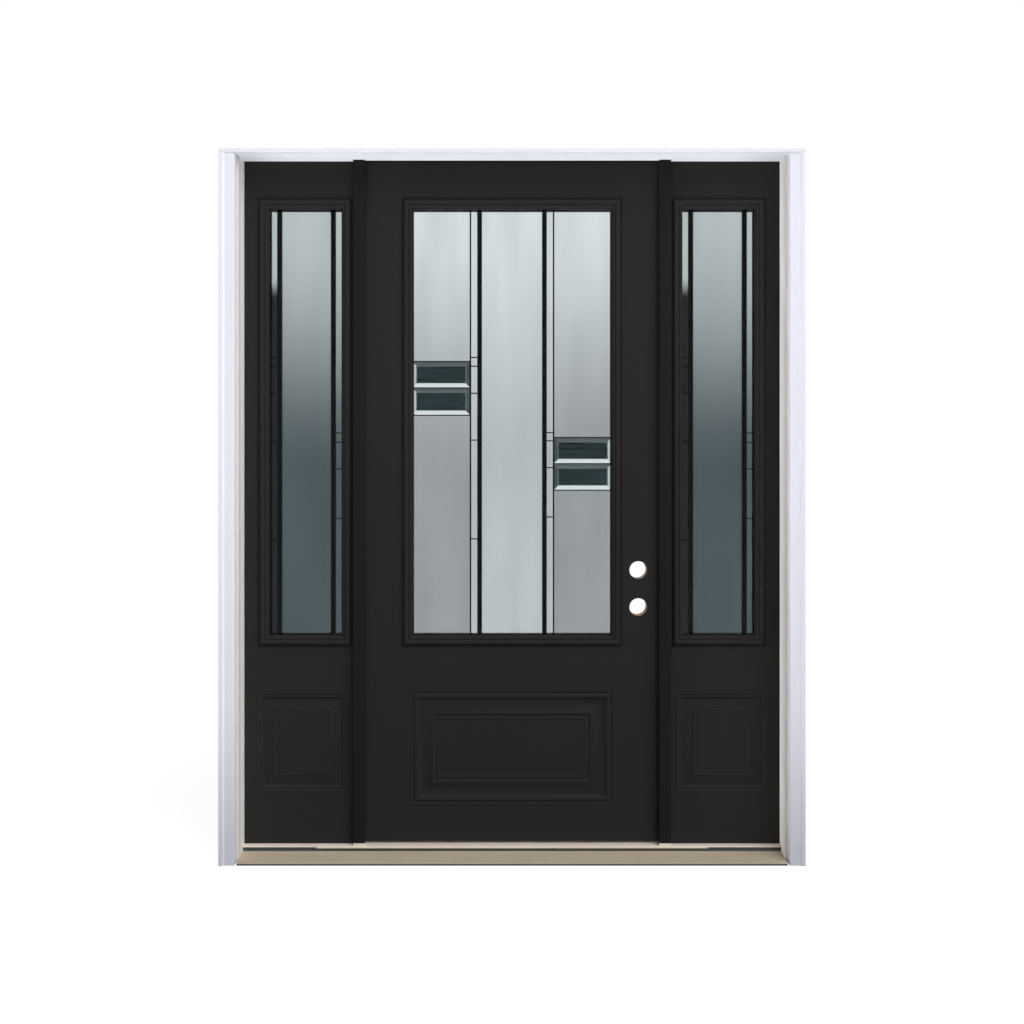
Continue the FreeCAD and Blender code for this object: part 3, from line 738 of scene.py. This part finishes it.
def faced(profile, face, y_span):
    """A profile of (inset, depth) points set on the outer face of a span in depth, or on its inner face."""
    front, back = y_span
    return profile + (0, front) if face == "outer" else profile * (1, -1) + (0, back)


class DOOR_OT_slabs(Operator):
    """Paint the skins, grain the cores and lay the mouldings of the embossed panels"""
    bl_idname = "door.slabs"
    bl_label = "Slabs"

    def execute(self, context):
        sizes = context.scene.door_mouldings
        paint = made(black_painted_fibreglass)
        door_margin, inner, outer = sizes.door_panel_margin, sizes.side_panel_inner, sizes.side_panel_outer
        margins = {"door": (door_margin, door_margin), "left_sidelight": (outer, inner),
                   "right_sidelight": (inner, outer)}
        for slab, body in SLABS.items():
            if slab == "door":
                points, foot, height = DOOR_PANEL_MOULDING, sizes.door_panel_foot, sizes.door_panel_height
            else:
                points, foot, height = SIDE_PANEL_MOULDING, sizes.side_panel_foot, sizes.side_panel_height
            left, right = limits(f"{slab}_outer_skin")[0]
            panel_x = (left + margins[slab][0], right - margins[slab][1])
            panel_z = (foot, foot + height)
            profile = rounded(outlined(points), PANEL_EASE, 3)
            for face in FACES:
                skin = f"{slab}_{face}_skin"
                finish_node(skin, paint)
                ring = carry_round(faced(profile, face, limits(skin)[1]), panel_x, panel_z)
                make_piece(f"{slab}_{face}_panel_moulding", [ring], paint, body, "black_painted_fibreglass")
        for node in ("hinge_stile", "lock_stile", "top_rail", "bottom_rail",
                     "left_sidelight_core", "right_sidelight_core"):
            finish_node(node, made(laminated_timber))
        return {"FINISHED"}


class DOOR_OT_lite_mouldings(Operator):
    """Carry the stepped moulding round both faces of each lite"""
    bl_idname = "door.lite_mouldings"
    bl_label = "Lite mouldings"

    def execute(self, context):
        profile = rounded(outlined(GLAZING_MOULDING), LITE_EASE, 3)
        for lite, body in SLABS.items():
            for face in FACES:
                node = f"{lite}_{face}_lite_frame"
                x_span, y_span, z_span = limits(node)
                ring = carry_round(faced(profile, face, y_span), x_span, z_span)
                make_piece(f"{lite}_{face}_lite_moulding", [ring], made(black_painted_fibreglass), body,
                           "black_painted_fibreglass", node)
        return {"FINISHED"}


def about(middle, size):
    """Span of a size about its middle."""
    return middle - size / 2, middle + size / 2


def upright(x_middle, width, y_span, z_span):
    """Upright bar with eased edges."""
    return carry_along(rounded(block_outline(about(x_middle, width), y_span), CAME_EASE), PLAN, z_span)


def crossing(x_span, y_span, z_middle, width):
    """Level bar with eased edges."""
    return carry_along(rounded(block_outline(y_span, about(z_middle, width)), BAR_EASE), SECTION, x_span)


def plate(x_span, y_span, z_span):
    """Flat sheet of glass with slightly ground edges."""
    return carry_along(rounded(block_outline(x_span, y_span), GLASS_EASE, 2), PLAN, z_span)


def bevelled_tile(x_span, z_span, profile):
    """Block of nested rectangles: each (inset, depth) point gives one, and the first and last close it."""
    points, _ = carry_round(profile, x_span, z_span)
    index = np.arange(4 * len(profile)).reshape(4, -1)
    sides = quads(4, len(profile), loop_rows=True, loop_columns=False)
    return points, [sides, index[:, :1].T, index[:, -1:].T]


def bevel_highlights(sign):
    """How bright each face of a bevelled tile is painted, from 0, smoked, to 1, clear: a painted highlight.

    Its sides run left, top, right and bottom, each with the back's polished line and bevel, the edge, and
    the front's bevel and polished line; the two fields come last. The foot and the side towards the lite's
    edge are painted clear and bright, as where light would catch them.
    """
    bevel = {"outer": 0.7, "top": 0.12, "inner": 0.06, "bottom": 1.0}
    line = {"outer": 0.3, "top": 0.2, "inner": 0.2, "bottom": 0.9}
    sides = ("outer", "top", "inner", "bottom") if sign < 0 else ("inner", "top", "outer", "bottom")
    bands = [(line[side], bevel[side], bevel[side], bevel[side], line[side]) for side in sides]
    return np.r_[np.ravel(bands), 0, 0]


def pebbled_strip(x_span, z_span, y_middle, glazing):
    """Strip of glass with rolled pebbles on both faces.

    A pebble's height over the flat is the square of the product of a sine across and a sine up the strip,
    each at the pebbles' spacing and bent by a slower sine of the other, so that no two rows line up.
    """
    step = glazing.pebble / 4
    across = np.linspace(*x_span, max(4, round((x_span[1] - x_span[0]) / step)))
    up = np.linspace(*z_span, max(4, round((z_span[1] - z_span[0]) / step)))[:, None]
    wave = np.pi / glazing.pebble
    bent_across = wave * across + 1.3 * np.sin(0.61 * wave * up)
    bent_up = wave * up + 1.1 * np.sin(0.47 * wave * across)
    rise = glazing.pebble_height * (np.sin(bent_across) * np.sin(bent_up)) ** 2
    flat = glazing.sheet / 2
    x = np.concatenate([across, across[::-1]])
    y = np.concatenate([y_middle - flat - rise, (y_middle + flat + rise)[:, ::-1]], axis=1)
    points = np.stack(np.broadcast_arrays(x, y, up), axis=-1)
    rows, columns = y.shape
    ends = np.arange(rows * columns).reshape(rows, columns)
    return points.reshape(-1, 3), [quads(rows, columns), ends[:1], ends[-1:]]


def strip_glass(x_span, z_span, bars, y_middle, glazing):
    """Glass of one narrow strip: pebbled between its first and last bar, plain above and below them."""
    foot, head = z_span
    half_bar = glazing.bar_width / 2
    plain_spans = [(foot, bars[-1] * MM - half_bar), (bars[0] * MM + half_bar, head)]
    plain = [plate(x_span, about(y_middle, glazing.sheet), span) for span in plain_spans]
    pebbled = [pebbled_strip(x_span, (low * MM + half_bar, high * MM - half_bar), y_middle, glazing)
               for high, low in zip(bars, bars[1:])]
    return plain, pebbled


class DOOR_OT_leaded_glass(Operator):
    """Set the panes and, between them, the cames, tiles, strips and rolled sheets of the leaded glass"""
    bl_idname = "door.leaded_glass"
    bl_label = "Leaded glass"

    def execute(self, context):
        glazing = context.scene.door_glazing
        for lite in SLABS:
            finish_node(f"{lite}_glass", made(clear_float_glass))
            finish_node(f"{lite}_spacer", made(mill_finish_aluminium))
        self.lead_door(glazing)
        for side in SIDES:
            self.lead_sidelight(f"{side}_sidelight", glazing)
        return {"FINISHED"}

    def places(self, lite, glazing):
        """Spans of a leaded sheet, held a little way into its spacer, and the middle of its depth."""
        (left, right), _, (foot, head) = limits(f"{lite}_outer_lite_frame")
        front, back = limits(f"{lite}_glass")[1]
        inset = glazing.rail - glazing.hold
        return (left + inset, right - inset), (foot + inset, head - inset), (front + back) / 2

    def lead_door(self, glazing):
        """Two pairs of a thin came and a wide band, with a stack of tiles outside each and strips inside."""
        (left, right), z_span, y_middle = self.places("door", glazing)
        came_y = about(y_middle, glazing.came_depth)
        sheet_y = about(y_middle, glazing.sheet)
        half_band, half_bar = glazing.door_band_width / 2, glazing.bar_width / 2
        tile_front, tile_back = sheet_y
        crown = tile_front - glazing.tile_crown
        bevel, field = glazing.tile_bevel, glazing.tile_bevel + glazing.tile_arris
        tile_profile = [(field, tile_back), (bevel, tile_back), (0, tile_back), (0, tile_front),
                        (bevel, crown), (field, crown)]

        cames, columns, pebbles, tiles, marks = [], [], [], [], []
        inner, band_edge = glazing.door_band - half_band, glazing.door_band + half_band
        came_inner, came_outer = about(glazing.door_came, glazing.came_width)
        sheets = [plate((-inner, inner), sheet_y, z_span)]
        for side, sign in SIDES.items():
            cames.append(upright(sign * glazing.door_came, glazing.came_width, came_y, z_span))
            cames.append(upright(sign * glazing.door_band, glazing.door_band_width, came_y, z_span))
            strip_x = sorted((sign * band_edge, sign * came_inner))
            strip_bars = DOOR_STRIP_BARS[side]
            plain, pebbled = strip_glass(strip_x, z_span, strip_bars, y_middle, glazing)
            sheets += plain
            pebbles += pebbled
            cames += [crossing(strip_x, came_y, bar * MM, glazing.bar_width) for bar in strip_bars]

            column_x = (left, -came_outer) if sign < 0 else (came_outer, right)
            bars = np.array(DOOR_TILE_BARS[side]) * MM
            cames += [crossing(column_x, came_y, bar, glazing.bar_width) for bar in bars]
            columns.append(plate(column_x, sheet_y, (bars[0] + half_bar, z_span[1])))
            columns.append(plate(column_x, sheet_y, (z_span[0], bars[-1] - half_bar)))
            tiles += [bevelled_tile(column_x, (low + half_bar, high - half_bar), tile_profile)
                      for high, low in zip(bars, bars[1:])]
            marks += [bevel_highlights(sign)] * (len(bars) - 1)
        make_piece("door_cames", cames, made(black_patina_came), "door", "spacer_bar")
        make_piece("door_rolled_sheets", sheets, made(pale_rolled_glass), "door", "insulated_glass")
        make_piece("door_column_sheets", columns, made(dove_rolled_glass), "door", "insulated_glass")
        make_piece("door_pebbled_strips", pebbles, made(pale_rolled_glass), "door", "insulated_glass")
        stack = make_piece("door_bevelled_tiles", tiles, made(ground_bevel_glass), "door",
                           "insulated_glass")
        stack.data.shade_flat()
        # Painted highlight: the faces of the tiles drawn clear and bright
        rim = stack.data.attributes.new("rim", "FLOAT", "FACE")
        rim.data.foreach_set("value", np.concatenate(marks).astype(np.float32))

    def lead_sidelight(self, lite, glazing):
        """A wide band near each edge of the lite, with a pebbled strip outside it."""
        (left, right), z_span, y_middle = self.places(lite, glazing)
        came_y = about(y_middle, glazing.came_depth)
        sheet_y = about(y_middle, glazing.sheet)
        middle = (left + right) / 2
        half_band = glazing.side_band_width / 2
        inner = glazing.side_band - half_band
        cames = []
        strips = {}
        field = [plate((middle - inner, middle + inner), sheet_y, z_span)]
        for side, sign in SIDES.items():
            band = middle + sign * glazing.side_band
            cames.append(upright(band, glazing.side_band_width, came_y, z_span))
            strip_x = (left, band - half_band) if sign < 0 else (band + half_band, right)
            bars = SIDELIGHT_STRIP_BARS[side]
            plain, pebbled = strip_glass(strip_x, z_span, bars, y_middle, glazing)
            strips[side] = plain + pebbled
            cames += [crossing(strip_x, came_y, bar * MM, glazing.bar_width) for bar in bars]
        grey, smoked = made(grey_rolled_glass), made(smoked_rolled_glass)
        make_piece(f"{lite}_cames", cames, made(black_patina_came), "frame", "spacer_bar")
        make_piece(f"{lite}_rolled_sheet", field, grey, "frame", "insulated_glass")
        make_piece(f"{lite}_left_strip", strips["left"], smoked, "frame", "insulated_glass")
        make_piece(f"{lite}_right_strip", strips["right"], grey, "frame", "insulated_glass")


def mirrored(profile, sign):
    """A profile drawn for the right side, turned over for the left."""
    return np.asarray(profile) * (sign, 1)


class DOOR_OT_posts(Operator):
    """Shape the side jambs and the mull posts with their boots, and finish the head jamb"""
    bl_idname = "door.posts"
    bl_label = "Jambs and posts"

    def execute(self, context):
        sizes = context.scene.door_mouldings
        slab_face = limits("door_outer_skin")[1][0]
        stop = limits("weather_seal")[1][0]
        door_rabbet = -limits("frame_hinge_leaves")[0][0]
        inner_edge, outer_edge = limits("right_sidelight_outer_skin")[0]
        rabbet, web = outer_edge + sizes.fit, inner_edge - sizes.fit
        (nose, face), (mull_front, mull_back), (mull_foot, mull_top) = limits("right_mull_post")
        boot_top = mull_foot + sizes.mull_boot
        (jamb_face, jamb_outer), (jamb_front, jamb_back), jamb_z = limits("right_jamb")
        jamb = [(jamb_face, jamb_front), (jamb_outer, jamb_front), (jamb_outer, jamb_back),
                (rabbet, jamb_back), (rabbet, slab_face), (jamb_face, slab_face)]
        mull = [(nose, mull_front), (face, mull_front), (face, slab_face), (web, slab_face),
                (web, mull_back), (door_rabbet, mull_back), (door_rabbet, stop), (nose, stop)]
        for side, sign in SIDES.items():
            jamb_post = carry_along(mirrored(rounded(jamb, sizes.edge), sign), PLAN, jamb_z)
            make_piece(f"{side}_jamb_post", [jamb_post], made(cream_primed_timber), "frame",
                       "white_painted_frame", f"{side}_jamb")
            outline = mirrored(rounded(mull, sizes.edge), sign)
            moulding = carry_along(outline, PLAN, (boot_top, mull_top))
            make_piece(f"{side}_mull_moulding", [moulding], made(shaded_black_post), "frame",
                       "black_painted_fibreglass", f"{side}_mull_post")
            boot = carry_along(outline, PLAN, (mull_foot, boot_top))
            make_piece(f"{side}_mull_boot", [boot], made(tan_moulded_composite), "frame", "cap_composite")
        finish_node("head_jamb", made(white_painted_head), sizes.head_edge)
        return {"FINISHED"}


class DOOR_OT_casing(Operator):
    """Shape the exterior casing: side boards with a raised outer band under a narrow head board"""
    bl_idname = "door.casing"
    bl_label = "Casing"

    def execute(self, context):
        sizes = context.scene.door_mouldings
        (inner, outer), (front, back), z_span = limits("right_casing")
        step = front + sizes.casing_step
        band = outer - sizes.casing_band
        outline = [(inner, back), (inner, step), (band - sizes.casing_step, step), (band, front),
                   (outer, front), (outer, back)]
        for side, sign in SIDES.items():
            board = carry_along(mirrored(rounded(outline, sizes.casing_edge, 6), sign), PLAN, z_span)
            make_piece(f"{side}_casing_board", [board], made(white_painted_casing), "frame",
                       "white_painted_frame", f"{side}_casing")
        x_span, y_span, z_span = limits("head_casing")
        board = carry_along(rounded(block_outline(y_span, z_span), sizes.edge), SECTION, x_span)
        make_piece("head_casing_board", [board], made(white_painted_head), "frame", "white_painted_frame",
                   "head_casing")
        return {"FINISHED"}


class DOOR_OT_sill(Operator):
    """Shape the ribbed deck and the rounded caps, and finish the base under them"""
    bl_idname = "door.sill"
    bl_label = "Sill"

    def execute(self, context):
        sizes = context.scene.door_mouldings
        finish_node("sill_base", made(slate_moulded_composite))
        self.lay_deck(sizes)
        self.lay_caps(sizes)
        return {"FINISHED"}

    def lay_deck(self, sizes):
        """Sloped deck: a straight rise from nose to riser, with a rib at each pitch.

        A rib's height over the slope is the sixth power of a cosine that repeats at the pitch.
        """
        x_span, (nose, rear), (foot, top) = limits("sill_deck")
        across = np.linspace(nose, rear, DECK_STEPS)
        front = foot + sizes.deck_front
        slope = front + (top - foot - sizes.deck_front) * (across - nose) / (rear - nose)
        wave = np.cos(np.pi * (across - nose) / sizes.rib_pitch - np.pi / 2)
        surface = slope - sizes.rib_height * (1 - wave ** 6)
        profile = np.column_stack([np.r_[across, rear, nose], np.r_[surface, foot, foot]])
        deck = carry_along(profile, SECTION, x_span)
        make_piece("sill_deck_ribbed", [deck], made(taupe_anodised_aluminium), "frame", "sill_deck_metal",
                   "sill_deck")

    def lay_caps(self, sizes):
        """Caps with a rounded nose, and a lip before the riser that runs past both mull posts."""
        (left, right), (nose, rear), (foot, top) = limits("threshold_cap")
        far_left, far_right = limits("sidelight_sill_caps")[0]
        riser = limits("sill_deck")[1][1]
        lip = foot - sizes.cap_lip
        plain = rounded([(nose, foot), (nose, top), (rear, top), (rear, foot)], sizes.edge)
        lipped = rounded([(nose, lip), (nose, top), (rear, top), (rear, foot), (riser, foot), (riser, lip)],
                         sizes.edge)
        composite = made(tan_moulded_composite)
        door_cap = carry_along(lipped, SECTION, (left, right))
        make_piece("threshold_cap_nosing", [door_cap], composite, "frame", "cap_composite", "threshold_cap")
        lip_left, lip_right = left - sizes.lip_run, right + sizes.lip_run
        runs = [(plain, (far_left, lip_left)), (lipped, (lip_left, left)),
                (lipped, (right, lip_right)), (plain, (lip_right, far_right))]
        side_caps = [carry_along(outline, SECTION, x_span) for outline, x_span in runs]
        make_piece("sidelight_cap_nosings", side_caps, composite, "frame", "cap_composite",
                   "sidelight_sill_caps")


class DOOR_OT_seals(Operator):
    """Carry the bulb seal round the stops and the finned sweep under the door"""
    bl_idname = "door.seals"
    bl_label = "Seals"

    def execute(self, context):
        sizes = context.scene.door_mouldings
        x_span, (front, back), z_span = limits("weather_seal")
        bulb = rounded([(0, front), (0, back), (sizes.bulb, back), (sizes.bulb, front)], sizes.bulb)
        seal = carry_round(bulb, x_span, z_span, closed=False)
        make_piece("weather_seal_bulb", [seal], made(dark_foam_vinyl), "frame", "seal_foam", "weather_seal")

        x_span, (front, back), (foot, top) = limits("door_sweep")
        fins = np.linspace(front, back, 2 * sizes.fins + 1)
        tips = np.where(np.arange(len(fins)) % 2, foot, top - sizes.sweep_root)
        profile = np.column_stack([np.r_[fins, back, front], np.r_[tips, top, top]])
        sweep = carry_along(rounded(profile, SWEEP_EASE, 3), SECTION, x_span)
        make_piece("door_sweep_fins", [sweep], made(dark_foam_vinyl), "door", "seal_foam", "door_sweep")
        return {"FINISHED"}


class DOOR_OT_hinges(Operator):
    """Plate the hinge leaves and fit their screws and pin heads"""
    bl_idname = "door.hinges"
    bl_label = "Hinges"

    def execute(self, context):
        sizes = context.scene.door_mouldings
        plating = made(satin_nickel_steel)
        for node in ("frame_hinge_leaves", "door_hinge_leaves"):
            finish_node(node, plating)
        axis_x, axis_y, _ = frame["joints"][0]["pos_m"]
        (frame_edge, _), (leaf_edge, _), (lowest, highest) = limits("frame_hinge_leaves")
        height = sizes.hinge_height
        bottoms = np.linspace(lowest, highest - height, HINGES)

        screw = np.array(SCREW_HEAD) * (sizes.screw_radius, MM, 1)
        columns = leaf_edge + np.array(SCREW_COLUMNS) * (axis_y - leaf_edge)
        rows = (np.arange(len(columns)) + 0.5) * height / len(columns)
        frame_face = frame_edge + sizes.leaf
        door_face = limits("door_outer_skin")[0][0] - sizes.leaf
        for body, face, way in (("frame", frame_face, 1), ("door", door_face, -1)):
            screws = [turn(screw * (1, way, 1), (face, y, bottom + z), 0, lobes=RECESS_LOBES)
                      for bottom in bottoms for y, z in zip(columns, rows)]
            make_piece(f"{body}_hinge_screws", screws, plating, body, "hinge_steel")

        dome = np.array(PIN_HEAD) * (sizes.pin_head, MM, 1)
        heads = [turn(dome, (axis_x, axis_y, bottom + height), 2) for bottom in bottoms]
        heads += [turn(dome * (1, -LOWER_HEAD, 1), (axis_x, axis_y, bottom), 2) for bottom in bottoms]
        make_piece("hinge_pin_heads", heads, plating, "frame", "hinge_steel")
        return {"FINISHED"}


GROUPS = {
    "door_finishes": DoorFinishes,
    "door_mouldings": DoorMouldings,
    "door_glazing": DoorGlazing,
    "door_studio": DoorStudio,
}
STEPS = (
    DOOR_OT_studio, DOOR_OT_slabs, DOOR_OT_lite_mouldings, DOOR_OT_leaded_glass, DOOR_OT_posts,
    DOOR_OT_casing, DOOR_OT_sill, DOOR_OT_seals, DOOR_OT_hinges,
)


class DOOR_PT_steps(Panel):
    """Steps that dress the door, with the sizes and colours they use"""
    bl_label = "Entry door"
    bl_space_type = "VIEW_3D"
    bl_region_type = "UI"
    bl_category = "Entry door"

    def draw(self, context):
        for step in STEPS:
            self.layout.operator(step.bl_idname)
        for name, group in GROUPS.items():
            box = self.layout.box()
            for key in group.__annotations__:
                box.prop(getattr(context.scene, name), key)


def register():
    for kind in (*GROUPS.values(), *STEPS, DOOR_PT_steps):
        bpy.utils.register_class(kind)
    for name, group in GROUPS.items():
        setattr(bpy.types.Scene, name, PointerProperty(type=group))


def unregister():
    for name in GROUPS:
        delattr(bpy.types.Scene, name)
    for kind in (DOOR_PT_steps, *reversed(STEPS), *GROUPS.values()):
        bpy.utils.unregister_class(kind)


def main():
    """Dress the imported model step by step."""
    register()
    bpy.ops.door.studio()
    bpy.ops.door.slabs()
    bpy.ops.door.lite_mouldings()
    bpy.ops.door.leaded_glass()
    bpy.ops.door.posts()
    bpy.ops.door.casing()
    bpy.ops.door.sill()
    bpy.ops.door.seals()
    bpy.ops.door.hinges()


if __name__ == "__main__":
    main()
